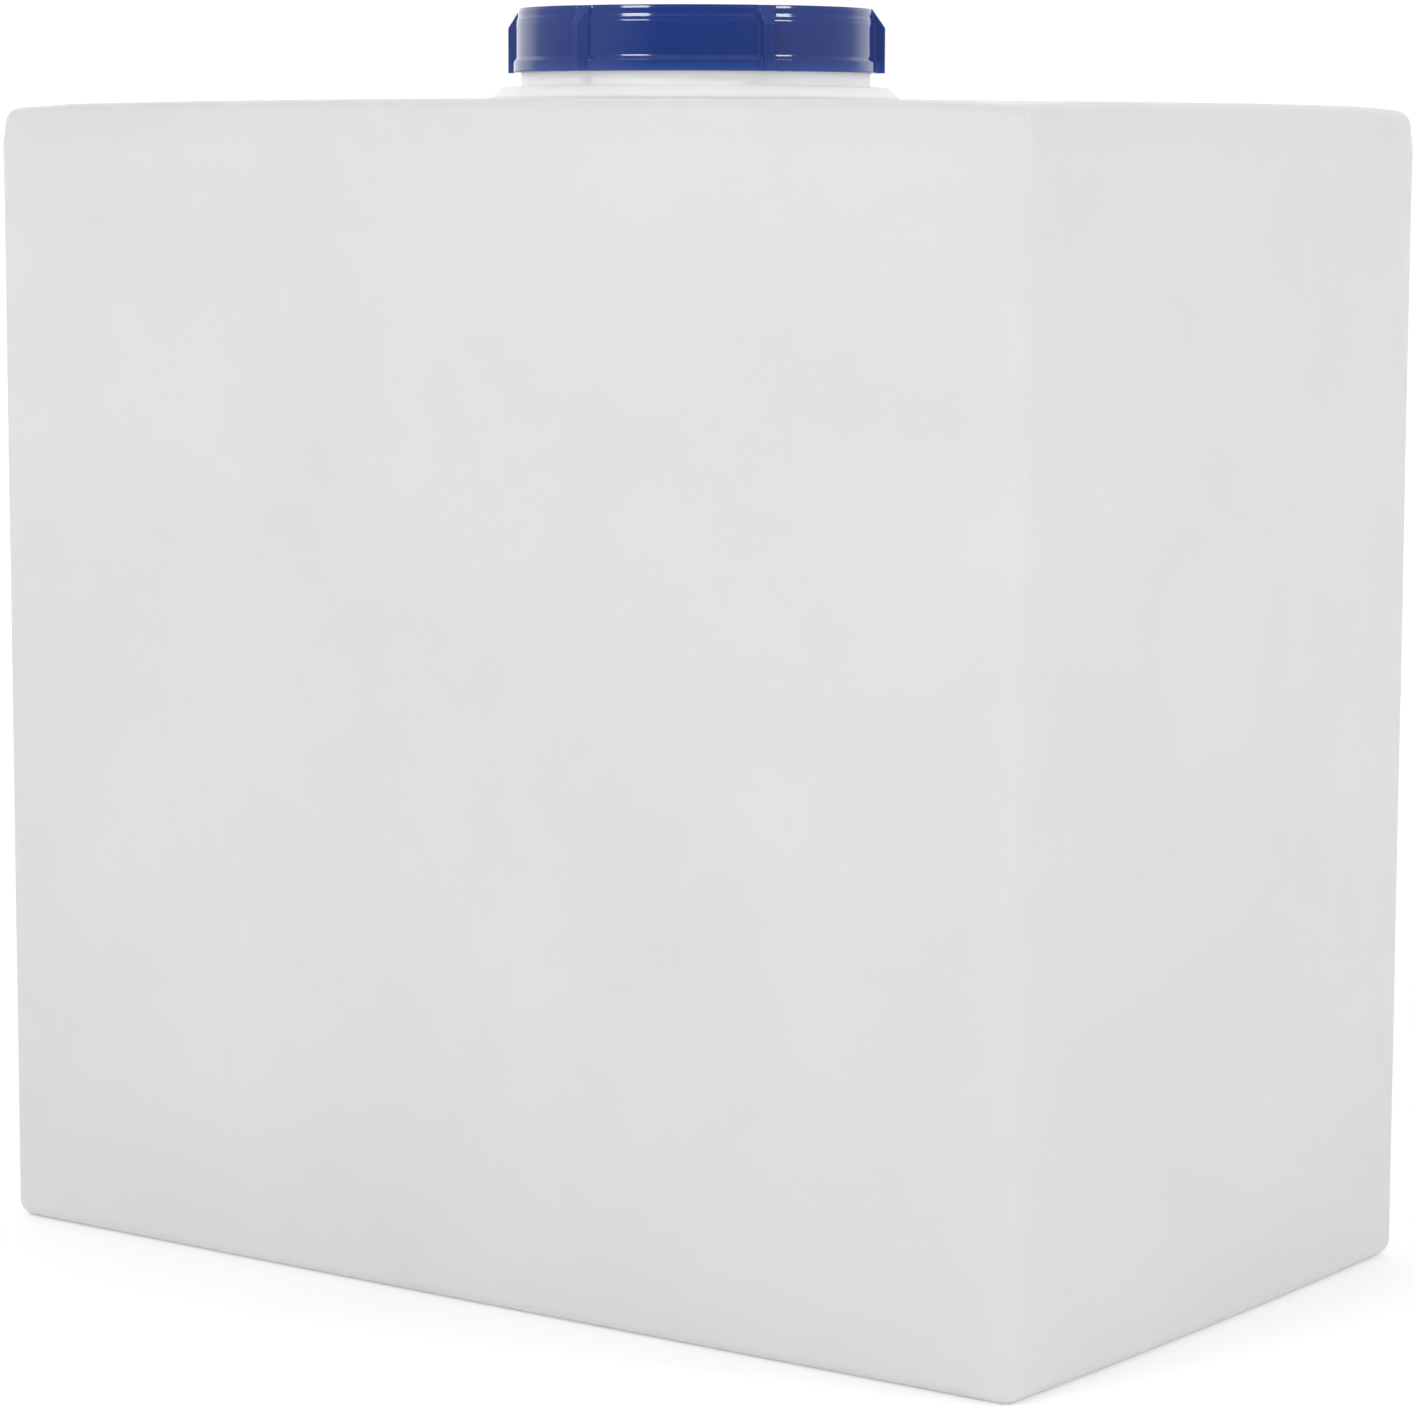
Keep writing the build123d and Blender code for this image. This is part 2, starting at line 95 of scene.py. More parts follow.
# Neck and lid.
THREAD_PITCH = 8.0
THREAD_RISE = 7.9
RIDGE_HEIGHT = 2.2
RIDGE_BASE = 3.6
RIDGE_CREST = 1.8
RIDGE_END = 0.7
NECK_ROOT = 80.0
NECK_THREAD_START = 570.6
NECK_THREAD_DEGREES = 17.0
LID_ROOT = 82.6
LID_THREAD_START = 572.4
LID_THREAD_DEGREES = 233.0
REAR_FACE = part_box("tank_body")[0].x / MM
LID_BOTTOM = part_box("lid")[0].z / MM
LID_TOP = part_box("lid")[1].z / MM
LID_FLOOR = LID_TOP - 8.9
LID_UNDERSIDE = LID_FLOOR - 2.8
RIB_COUNT = 6
RIB_DEGREES = 28.7
RIB_TIP = 90.6
RIB_TIP_HALF = 1.75
RIB_FLANK = 0.469
RIB_MEAN = 88.0
SKIRT_RADIUS = 87.0
SKIRT_INNER = 84.0
PLUG_OUTER = 74.4
PLUG_INNER = 72.6
PLUG_DEPTH = 5.2
VENT_HOLE = 6.4

# Largest radius of a nut's chamfered corners, as a share of its width across flats.
HEXAGON_ENVELOPE = 0.573

# The breather's nut: width across flats, and the shank it is screwed on.
BREATHER_NUT_FLATS = 19.0
BREATHER_SHANK = 6.2

# The breather's cap: plate thickness, the ring it stands on, its slots and its grip flutes.
CAP_PLATE = 2.0
CAP_FOOT_INNER = 8.6
CAP_FOOT_OUTER = 10.0
CAP_SLOT = 3.0
CAP_SLOT_START = 7.5
CAP_FLUTES = 36
CAP_FLUTE_DEPTH = 0.28
CAP_SKIRT = 1.4
CAP_RECESS = 0.4
CAP_HUB = 1.0

# Radii of the two connectors (bore, under the nut, thread, hole in the wall, opening that the wall's pad
# fills), with the pitch and depth of their pipe threads.
CONNECTOR_SIZES = {
    "outlet": {
        "bore": 12.5,
        "engaged": 16.2,
        "major": 16.62,
        "pitch": 2.309,
        "depth": 1.35,
        "hole": 17.05,
        "opening": 24.0,
    },
    "overflow": {
        "bore": 9.5,
        "engaged": 12.8,
        "major": 13.22,
        "pitch": 1.814,
        "depth": 1.05,
        "hole": 13.65,
        "opening": 20.0,
    },
}
CONNECTOR_FLANGE = 5.0
PAD_MARGIN = 5.0

# Painted light: the neck and boss glow by height, a stand-in for light that comes through the neck's thin
# translucent wall and a lift for the shade under the lid's rim and where the boss meets the collar: (height
# in metres, strength).
NECK_PAINTED_GLOW = [
    (0.5530, 0.0),
    (0.5546, 0.095),
    (0.5562, 0.005),
    (0.5588, 0.0),
    (0.5606, 0.05),
    (0.5625, 0.085),
    (0.5650, 0.15),
    (0.5666, 0.0),
]

# Heights in metres between which the tank's colour turns into the neck's lighter one, and the lid's into its
# foot's lighter one. Both lighter colours are painted light: the neck's for light through its thin wall and
# against the shade under the lid, the foot's for light thrown up from the white tank below.
NECK_PAINTED_LIGHT_BLEND = (0.5530, 0.5560)
LID_FOOT_PAINTED_LIGHT_BLEND = (0.5715, 0.5675)

# The photograph's camera: azimuth round the tank, pitch and roll in degrees, lens and sensor in millimetres,
# place in metres (back from the neck's axis, sideways, and above the floor).
CAMERA_AZIMUTH = math.radians(36.32)
CAMERA_PITCH = math.radians(7.02)
CAMERA_ROLL = math.radians(0.15)
CAMERA_LENS = 115.83
CAMERA_SENSOR = 36.0
CAMERA_BACK = 2.1929
CAMERA_ASIDE = 0.00629
CAMERA_HEIGHT = 0.53302

# Half the floor's width, and the point that the softboxes face, in metres.
FLOOR_HALF = 30.0
LIGHT_TARGET = Vector((0, 0, 0.45))


# ---------------------------------------------------------------- mesh tools


def closed_mesh(name, verts, faces):
    """Mesh from millimetre points, with its faces turned outwards."""
    mesh = bpy.data.meshes.new(name)
    mesh.from_pydata([tuple(v) for v in np.asarray(verts) * MM], [], faces)
    bm = bmesh.new()
    bm.from_mesh(mesh)
    bmesh.ops.recalc_face_normals(bm, faces=bm.faces)
    bm.to_mesh(mesh)
    bm.free()
    return mesh


def add_object(name, data):
    item = bpy.data.objects.new(name, data)
    bpy.context.scene.collection.objects.link(item)
    return item


def new_piece(name, verts, faces, body, replaces=()):
    """Makes a smooth-shaded mesh piece from millimetre points, and ties it to its CAD body."""
    mesh = closed_mesh(name, verts, faces)
    mesh.polygons.foreach_set("use_smooth", [True] * len(mesh.polygons))
    mesh.set_sharp_from_angle(angle=SHARP_ANGLE)
    piece = add_object(name, mesh)
    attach(piece, body)
    if replaces:
        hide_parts(*replaces)
    return piece


def skin(rows, closed):
    """Vertices and quads over rows of points. Rows either close on each other or end in a centre point."""
    count = len(rows[0])
    verts = np.concatenate(rows)
    faces = []
    last = len(rows) if closed else len(rows) - 1
    for j in range(last):
        a = j * count
        b = ((j + 1) % len(rows)) * count
        for i in range(count):
            k = (i + 1) % count
            faces.append((a + i, a + k, b + k, b + i))
    if not closed:
        ends = (rows[0].mean(axis=0), rows[-1].mean(axis=0))
        starts = (0, (len(rows) - 1) * count)
        for end, start in zip(ends, starts):
            centre = len(verts)
            verts = np.vstack([verts, end])
            for i in range(count):
                faces.append((start + i, start + (i + 1) % count, centre))
    return verts, faces


def divide(here, after, step):
    """Points from one point towards the next, without the next, about a step apart."""
    pieces = max(1, int(np.linalg.norm(after - here) / step))
    return [here + (after - here) * s / pieces for s in range(pieces)]


def rounded(corners, step=None):
    """Outline through (radius, height, fillet) corners: each corner becomes an arc of that fillet.
    Straight stretches are divided into pieces of step or a little longer."""
    points = [np.array(c[:2], float) for c in corners]
    count = len(corners)
    outline = []
    for i in range(count):
        here, before, after = points[i], points[i - 1], points[(i + 1) % count]
        size = corners[i][2]
        if size <= 0:
            outline.append(here)
            continue
        to_before = (before - here) / np.linalg.norm(before - here)
        to_after = (after - here) / np.linalg.norm(after - here)
        half = math.acos(max(-1.0, min(1.0, float(to_before @ to_after)))) / 2
        reach = size / math.tan(half)
        middle = (to_before + to_after) / np.linalg.norm(to_before + to_after)
        centre = here + middle * size / math.sin(half)
        start = here + to_before * reach - centre
        end = here + to_after * reach - centre
        turn = math.atan2(start[0] * end[1] - start[1] * end[0], float(start @ end))
        segments = min(8, max(3, int(abs(turn) * size / ARC_STEP)))
        for s in range(segments + 1):
            a = turn * s / segments
            c, sn = math.cos(a), math.sin(a)
            outline.append(centre + np.array([c * start[0] - sn * start[1], sn * start[0] + c * start[1]]))
    if step is None:
        return outline
    ends = outline[1:] + outline[:1]
    return [point for here, after in zip(outline, ends) for point in divide(here, after, step)]


def even_angles(count):
    return np.arange(count) * 2 * math.pi / count


def level(angles, value):
    """The same number for every angle."""
    return np.full(len(angles), float(value))


def round_row(angles, radii, height):
    return np.stack([radii * np.cos(angles), radii * np.sin(angles), level(angles, height)], 1)


def lathe(outline, angles, shape=None):
    """Rows of points round Z for each (radius, height) of an outline. shape(angles, radius, height) may
    return other radii."""
    rows = []
    for radius, height in outline:
        radii = level(angles, radius) if shape is None else shape(angles, radius, height)
        rows.append(round_row(angles, radii, height))
    return rows


def smooth_max(a, b, k):
    """Larger of two values, rounded over k."""
    h = np.clip(0.5 + 0.5 * (a - b) / k, 0, 1)
    return b + (a - b) * h + k * h * (1 - h)


def smooth_min(a, b, k):
    return -smooth_max(-a, -b, k)


def ease(share):
    return share * share * (3 - 2 * share)


def ridge(angles, height, start_height, start_degrees):
    """Height of the coarse lid thread's ridge at one level, tapered in and out at its ends."""
    turns = ((np.degrees(angles) - start_degrees) % 360.0) / 360.0
    total = np.zeros(len(angles))
    for extra in (0, 1):
        rise = (turns + extra) * THREAD_PITCH
        inside = (rise >= 0) & (rise <= THREAD_RISE)
        away = np.abs(height - (start_height + rise))
        flank = (RIDGE_BASE - RIDGE_CREST) / 2
        full = np.clip((RIDGE_BASE / 2 - away) / flank, 0, 1)
        ends = np.clip(np.minimum(rise, THREAD_RISE - rise) / RIDGE_END, 0, 1)
        total = np.maximum(total, np.where(inside, ease(full) * ease(ends), 0.0))
    return total * RIDGE_HEIGHT


# ---------------------------------------------------------------- tank


def bow_circle(half_chord, bow):
    return (half_chord**2 + bow**2) / (2 * bow)


def plan_columns():
    """Points and outward normals round the tank's plan, starting on the +X end, anticlockwise."""
    end_radius = bow_circle(HALF_WIDTH, END_BOW)
    side_radius = bow_circle(HALF_LENGTH, SIDE_BOW)
    end_x = HALF_LENGTH + END_BOW - end_radius
    side_y = HALF_WIDTH + SIDE_BOW - side_radius
    corner_x, corner_y = HALF_LENGTH - CORNER_RADIUS, HALF_WIDTH - CORNER_RADIUS
    for _ in range(50):
        corner_x = end_x + math.sqrt((end_radius - CORNER_RADIUS) ** 2 - corner_y**2)
        corner_y = side_y + math.sqrt((side_radius - CORNER_RADIUS) ** 2 - corner_x**2)
    end_turn = math.atan2(corner_y, corner_x - end_x)
    side_turn = math.atan2(corner_y - side_y, corner_x)
    pi = math.pi
    arcs = [
        ((end_x, 0), end_radius, -end_turn, end_turn, END_SEGMENTS),
        ((corner_x, corner_y), CORNER_RADIUS, end_turn, side_turn, CORNER_SEGMENTS),
        ((0, side_y), side_radius, side_turn, pi - side_turn, SIDE_SEGMENTS),
        ((-corner_x, corner_y), CORNER_RADIUS, pi - side_turn, pi - end_turn, CORNER_SEGMENTS),
        ((-end_x, 0), end_radius, pi - end_turn, pi + end_turn, END_SEGMENTS),
        ((-corner_x, -corner_y), CORNER_RADIUS, pi + end_turn, pi + side_turn, CORNER_SEGMENTS),
        ((0, -side_y), side_radius, pi + side_turn, 2 * pi - side_turn, SIDE_SEGMENTS),
        ((corner_x, -corner_y), CORNER_RADIUS, 2 * pi - side_turn, 2 * pi - end_turn, CORNER_SEGMENTS),
    ]
    points, normals = [], []
    for centre, radius, start, end, segments in arcs:
        for s in range(segments):
            a = start + (end - start) * s / segments
            normal = np.array([math.cos(a), math.sin(a)])
            points.append(np.array(centre) + radius * normal)
            normals.append(normal)
    return np.array(points), np.array(normals)


def undulation(points, spacing, seed):
    """Slow, smooth noise from -1 to 1 at each point, as moulded sheet has."""
    offset = Vector((seed, seed * 1.7, seed * 0.3))
    return np.array([noise.noise(Vector(p) / spacing + offset) for p in points])


def waver(points, waves):
    """How far moulded sheet sinks at each point, as a share that averages 1."""
    (coarse, coarse_seed), (fine, fine_seed) = waves
    return 1.0 + (undulation(points, coarse, coarse_seed) + FINE_SHARE * undulation(points, fine, fine_seed))


def dome_height(points):
    """Height of the slightly domed top, which sinks towards the corners."""
    along = (HALF_LENGTH - np.abs(points[:, 0])) / CORNER_SAG_REACH
    across = (HALF_WIDTH - np.abs(points[:, 1])) / CORNER_SAG_REACH
    sag = CORNER_SAG * np.exp(-(along**2) - across**2)
    return TOP_HEIGHT - (points[:, 0] ** 2 + points[:, 1] ** 2) / (2 * DOME_RADIUS) - sag


def with_height(points, height):
    heights = np.full(len(points), float(height)) if np.isscalar(height) else height
    return np.column_stack([points, heights])


def tank_rows():
    """Rows of points over the whole tank: underside, walls, top, neck, bore, and back over the inside."""
    plan, normal = plan_columns()
    count = len(plan)
    angles = (np.arange(count) - END_SEGMENTS / 2) * 2 * math.pi / count
    ring = np.stack([np.cos(angles), np.sin(angles)], 1)
    rows = []

    def wall_row(inset, height, share=1.0):
        points = with_height(plan - inset * normal, height)
        depth = share * WALL_WAVER * waver(points, WALL_WAVES)
        points[:, :2] -= normal * depth[:, None]
        rows.append(points)

    base = plan - BOTTOM_RADIUS * normal
    for share in (0.12, 0.3, 0.5, 0.7, 0.86, 0.96, 1.0):
        rows.append(with_height(base * share, 0.0))
    for a in np.radians(np.arange(10.0, 90.0, 10.0)):
        wall_row(BOTTOM_RADIUS * (1 - math.sin(a)), BOTTOM_RADIUS * (1 - math.cos(a)), math.sin(a))
    for height in np.linspace(BOTTOM_RADIUS, PARTING - SWELL_REACH, 64):
        wall_row(0.0, height)
    lean = math.tan(TOP_LEAN)
    for rise in np.linspace(-SWELL_REACH, SWELL_REACH, 17)[1:]:
        blend = (rise + SWELL_REACH) / (2 * SWELL_REACH)
        leaning = lean * SWELL_REACH * blend**2
        wall_row(leaning - SWELL * math.sin(math.pi * blend) ** 2, PARTING + rise)
    edge_height = dome_height(plan) - TOP_RADIUS
    edge_foot = edge_height + TOP_RADIUS * math.sin(TOP_LEAN)
    edge_inset = (edge_foot - PARTING) * lean + TOP_RADIUS * math.cos(TOP_LEAN)
    for a in np.linspace(TOP_LEAN, math.pi / 2, 9):
        inset = (edge_inset - TOP_RADIUS * math.cos(a))[:, None]
        wall_row(inset, edge_height + TOP_RADIUS * math.sin(a), math.cos(a))

    rim = rows[-1][:, :2]
    boss_circle = ring * BOSS_FOOT
    for share in np.linspace(0, 1, 27)[1:]:
        flat = rim * (1 - share) + boss_circle * share
        points = with_height(flat, dome_height(flat))
        fade = math.sin(math.pi * share) ** 0.5 if share < 1 else 0.0
        points[:, 2] -= fade * TOP_WAVER * waver(points, TOP_WAVES)
        rows.append(points)

    neck = rounded(
        [
            (BOSS_FOOT, 552.9, 0),
            (98.6, 553.0, 2.5),
            (91.5, BOSS_TOP, 2.2),
            (COLLAR, BOSS_TOP, 1.0),
            (COLLAR, 568.0, 0.6),
            (NECK_ROOT, 568.8, 0.5),
            (NECK_ROOT, 581.2, 0.8),
            (NECK_BORE, 581.2, 0.8),
            (NECK_BORE, BOSS_TOP - WALL, 1.0),
            (87.0, BOSS_TOP - WALL, 2.0),
            (94.5, 548.8, 3.0),
            (BOSS_FOOT, 548.4, 0),
        ]
    )
    dense = []
    for i, here in enumerate(neck[1:-1], 1):
        after = neck[i + 1]
        on_thread = abs(here[0] - NECK_ROOT) < 0.01 and abs(after[0] - NECK_ROOT) < 0.01
        dense += divide(here, after, 0.4 if on_thread else 3.0)
    for radius, height in dense + [neck[-1]]:
        radii = np.full(count, radius)
        if abs(radius - NECK_ROOT) < 0.01:
            radii = radii + ridge(angles, height, NECK_THREAD_START, NECK_THREAD_DEGREES)
        rows.append(with_height(ring * radii[:, None], height))

    inner = plan - (WALL + 1.5 + INNER_EDGE) * normal
    for share in np.linspace(0, 1, 9)[1:]:
        flat = boss_circle * (1 - share) + inner * share
        rows.append(with_height(flat, dome_height(flat) - WALL))
    for a in np.radians((60.0, 30.0, 0.0)):
        inset = WALL + 1.5 + INNER_EDGE * (1 - math.cos(a))
        drop = WALL + INNER_EDGE * (1 - math.sin(a))
        rows.append(with_height(plan - inset * normal, edge_height + TOP_RADIUS - drop))
    for height in (PARTING, 400.0, 270.0, 140.0, WALL + INNER_EDGE):
        rows.append(with_height(plan - WALL * normal, height))
    for a in np.radians((30.0, 60.0, 90.0)):
        inset = WALL + INNER_EDGE * (1 - math.cos(a))
        rows.append(with_height(plan - inset * normal, WALL + INNER_EDGE * (1 - math.sin(a))))
    floor = plan - (WALL + INNER_EDGE) * normal
    for share in (0.8, 0.4, 0.12):
        rows.append(with_height(floor * share, WALL))
    return rows


def apply_modifiers(piece):
    """Replaces a piece's mesh by its evaluated mesh."""
    graph = bpy.context.evaluated_depsgraph_get()
    mesh = bpy.data.meshes.new_from_object(piece.evaluated_get(graph))
    piece.modifiers.clear()
    mesh.set_sharp_from_angle(angle=SHARP_ANGLE)
    piece.data = mesh


def cut(piece, verts, faces):
    """Cuts a closed shape, given in millimetres, out of a piece."""
    cutter = add_object("cutter", closed_mesh("cutter", verts, faces))
    modifier = piece.modifiers.new("cut", "BOOLEAN")
    modifier.operation = "DIFFERENCE"
    modifier.solver = "EXACT"
    modifier.object = cutter
    bpy.context.view_layer.update()
    apply_modifiers(piece)
    bpy.data.objects.remove(cutter)


def to_rear_wall(rows, height):
    """Turns rows made round Z so that Z points out of the rear end wall, at a connector's height."""
    return [np.stack([REAR_FACE - row[:, 2], row[:, 0], row[:, 1] + height], 1) for row in rows]


def connector_heights():
    return {
        name: (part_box(f"{name}_body")[0].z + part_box(f"{name}_body")[1].z) / 2 / MM
        for name in ("outlet", "overflow")
    }


def tank():
    verts, faces = skin(tank_rows(), closed=False)
    shell = new_piece("tank_shell", verts, faces, "tank", ["tank_body"])
    for name, height in connector_heights().items():
        radius = CONNECTOR_SIZES[name]["opening"]
        outline = [(radius, -16.0), (radius, 6.0)]
        cut(shell, *skin(to_rear_wall(lathe(outline, even_angles(48)), height), closed=False))
    return shell


def wall_pad(name, height, inner, outer):
    """Flat moulded pad round a connector's hole, blended into the wall."""
    outline = rounded(
        [
            (inner, -7.6, 0.4),
            (inner, 0.0, 0.3),
            (outer, 0.0, 0.7),
            (outer + 0.1, -0.75, 0.25),
            (outer + 2.0, -1.05, 0),
            (outer + 2.0, -7.6, 0.4),
        ]
    )
    verts, faces = skin(to_rear_wall(lathe(outline, even_angles(96)), height), closed=True)
    return new_piece(f"tank_{name}_pad", verts, faces, "tank")


# ---------------------------------------------------------------- lid


def lid_angles():
    """Columns round the lid: close together on each rib's edges and flanks, even between ribs."""
    near = [0.0, 0.9, 1.45, 1.62, 1.8, 2.0, 2.3, 2.9, 3.4, 3.8, 4.2, 4.8, 5.6]
    near_degrees = [math.degrees(t / RIB_MEAN) for t in near]
    gap = 360.0 / RIB_COUNT
    between = np.linspace(near_degrees[-1], gap - near_degrees[-1], 25)[1:-1]
    sector = [-a for a in reversed(near_degrees[1:])] + near_degrees + list(between)
    degrees = [RIB_DEGREES + k * gap + a for k in range(RIB_COUNT) for a in sector]
    return np.radians(degrees)


def lid_shape(angles, radius, height):
    """The lid's radii at one level: grip ribs outside and the thread's ridge inside."""
    radii = level(angles, radius)
    if abs(radius - LID_ROOT) < 0.01:
        return radii - ridge(angles, height, LID_THREAD_START, LID_THREAD_DEGREES)
    if radius < 84.3 or (radius < 84.9 and height < LID_BOTTOM + 5.0):
        return radii
    gap = 2 * math.pi / RIB_COUNT
    across = (angles - math.radians(RIB_DEGREES) + gap / 2) % gap - gap / 2
    away = np.abs(across) * RIB_MEAN
    flank = RIB_TIP - (away - RIB_TIP_HALF) / RIB_FLANK
    chamfer = 84.7 + (LID_TOP - 0.2 - height) * 0.68
    rib = smooth_min(np.minimum(flank, RIB_TIP + 1.0), level(angles, RIB_TIP), 0.35)
    rib = smooth_min(rib, level(angles, chamfer), 0.3)
    return smooth_max(radii, rib, 0.45)


def lid():
    outline = rounded(
        [
            (VENT_HOLE, LID_FLOOR, 0.3),
            (52.0, LID_FLOOR, 0.8),
            (53.0, LID_FLOOR + 1.0, 0.4),
            (56.0, LID_FLOOR + 1.0, 0.4),
            (57.0, LID_FLOOR, 0.8),
            (80.2, LID_FLOOR, 1.6),
            (81.4, LID_TOP, 0.5),
            (84.35, LID_TOP, 0.4),
            (84.45, LID_TOP - 0.6, 0.2),
            (84.8, LID_TOP - 1.55, 0.2),
            (84.8, LID_TOP - 4.0, 0.4),
            (85.34, LID_TOP - 5.45, 0.4),
            (85.55, LID_TOP - 6.95, 0.15),
            (85.72, LID_TOP - 7.4, 0.2),
            (85.8, LID_BOTTOM + 7.4, 0.3),
            (86.02, LID_BOTTOM + 6.8, 0.3),
            (SKIRT_RADIUS, LID_BOTTOM + 5.1, 0.8),
            (SKIRT_RADIUS, LID_BOTTOM, 0.5),
            (SKIRT_INNER, LID_BOTTOM, 0.4),
            (SKIRT_INNER, LID_BOTTOM + 3.7, 0.3),
            (LID_ROOT, LID_BOTTOM + 4.7, 0.2),
            (LID_ROOT, LID_UNDERSIDE, 0.6),
            (PLUG_OUTER, LID_UNDERSIDE, 0.5),
            (PLUG_OUTER, LID_UNDERSIDE - PLUG_DEPTH, 0.6),
            (PLUG_INNER, LID_UNDERSIDE - PLUG_DEPTH, 0.5),
            (PLUG_INNER, LID_UNDERSIDE, 0.5),
            (VENT_HOLE, LID_UNDERSIDE, 0.3),
        ],
        step=0.55,
    )
    # The flat top and underside need no more than a point every 3 mm.
    thinned = [outline[0]]
    for point in outline[1:]:
        flat = abs(point[1] - thinned[-1][1]) < 0.01 and min(point[0], thinned[-1][0]) < 80.0
        if not flat or abs(point[0] - thinned[-1][0]) > 3.0:
            thinned.append(point)
    verts, faces = skin(lathe(thinned, lid_angles(), lid_shape), closed=True)
    return new_piece("screw_lid", verts, faces, "lid", ["lid"])


# ---------------------------------------------------------------- connectors


def hexagon_radii(angles, flats, rounding):
    """Distance from the axis to a hexagon's side at each angle, with its corners rounded."""
    gap = math.pi / 3
    across = (angles + gap / 2) % gap - gap / 2
    corner = flats / 2 / math.cos(gap / 2)
    return smooth_min(flats / 2 / np.cos(across), level(angles, corner - rounding / 2), rounding)


def hexagon_angles():
    """Columns round a hexagon, close together at its corners."""
    gap = 60.0
    from_corner = [0.0, 0.8, 1.6, 2.6, 4.0, 6.5, 10.0, 15.0, 22.0]
    sector = from_corner + [gap - a for a in reversed(from_corner[1:])]
    return np.radians([k * gap + gap / 2 + a for k in range(6) for a in sector])


def hexagon_nut(flats, thickness, bore):
    """Rows of a hexagonal nut on z = 0: chamfered outer face, lightly chamfered foot, bevelled bore."""
    half = flats / 2
    envelope = flats * HEXAGON_ENVELOPE

    def shape(angles, radius, height):
        radii = level(angles, radius)
        if radius < half - 1.2:
            return radii
        near_face = half - 0.7 + (thickness - height) * 2.1
        near_foot = half + 0.4 + height * 2.6
        side = hexagon_radii(angles, flats, 0.9)
        side = smooth_min(side, level(angles, near_face), 0.5)
        side = smooth_min(side, level(angles, near_foot), 0.5)
        return np.minimum(side, envelope) if radius >= half else np.minimum(side, radii)

    face = half - 1.3
    outline = rounded(
        [
            (bore + 0.05, 0.0, 0.3),
            (face, 0.0, 0),
            (half, 0.0, 0),
            (half, thickness, 0),
            (face, thickness, 0),
            (bore + 2.6, thickness, 0.3),
            (bore + 2.2, thickness - 0.4, 0.2),
            (bore + 0.9, thickness - 0.4, 0.2),
            (bore + 0.05, thickness - 1.2, 0.2),
        ],
        step=0.8,
    )
    return lathe(outline, hexagon_angles(), shape)


def pipe_thread(angles, start, end, size):
    """(height, radii) rows of a fine right-hand thread with rounded crests and roots."""
    rows = []
    turn = angles / (2 * math.pi)
    major, pitch = size["major"], size["pitch"]
    for height in np.arange(start, end + 0.01, pitch / 10):
        phase = (height / pitch + turn) % 1.0
        groove = (0.5 - 0.5 * np.cos(2 * math.pi * phase)) ** 1.25
        run_in = min(1.0, (height - start) / (0.6 * pitch))
        run_out = max(0.0, (height - (end - 1.1)) * 0.9)
        rows.append((height, np.minimum(major - size["depth"] * groove * run_in, major - run_out)))
    return rows


def flange_radius(name):
    low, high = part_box(f"{name}_body")
    return (high.y - low.y) / 2 / MM


def connector_body(name, height):
    """Flange, shank and threaded end of a bulkhead connector."""
    low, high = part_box(f"{name}_body")
    end = REAR_FACE - low.x / MM
    flange_back = REAR_FACE - high.x / MM
    flange = flange_radius(name)
    size = CONNECTOR_SIZES[name]
    angles = even_angles(120)
    nut_face = REAR_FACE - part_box(f"{name}_nut")[0].x / MM
    inside = rounded(
        [
            (size["bore"], flange_back, 0.8),
            (flange, flange_back, 1.2),
            (flange, flange_back + CONNECTOR_FLANGE, 0.4),
            (size["engaged"], flange_back + CONNECTOR_FLANGE, 0.3),
            (size["engaged"], nut_face, 0),
        ],
        step=4.0,
    )
    rows = lathe(inside[:-1], angles)
    for turn_height, radii in pipe_thread(angles, nut_face, end, size):
        rows.append(round_row(angles, radii, turn_height))
    bore = size["bore"]
    lip = [(bore + 1.6, end), (bore + 0.6, end), (bore, end - 0.8)]
    rows += lathe(lip + [(bore, at) for at in np.linspace(end - 6.0, flange_back + 3.0, 5)], angles)
    verts, faces = skin(to_rear_wall(rows, height), closed=True)
    return new_piece(f"{name}_connector", verts, faces, "tank", [f"{name}_body"])


BOX_FACES = [(0, 1, 3, 2), (4, 6, 7, 5), (0, 4, 5, 1), (2, 3, 7, 6), (0, 2, 6, 4), (1, 5, 7, 3)]


def block(start, end, half, bottom, top):
    """Corners of a box from start to end along X, half to each side of it, in BOX_FACES's order."""
    return [(x, y, z) for x in (start, end) for y in (-half, half) for z in (bottom, top)]


def breather_nut():
    """Back nut under the lid, its chamfered face downwards."""
    low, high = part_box("breather_nut")
    rows = hexagon_nut(BREATHER_NUT_FLATS, (high.z - low.z) / MM, BREATHER_SHANK)
    for row in rows:
        row[:, 2] = high.z / MM - row[:, 2]
    verts, faces = skin(rows, closed=True)
    return new_piece("breather_back_nut", verts, faces, "lid", ["breather_nut"])


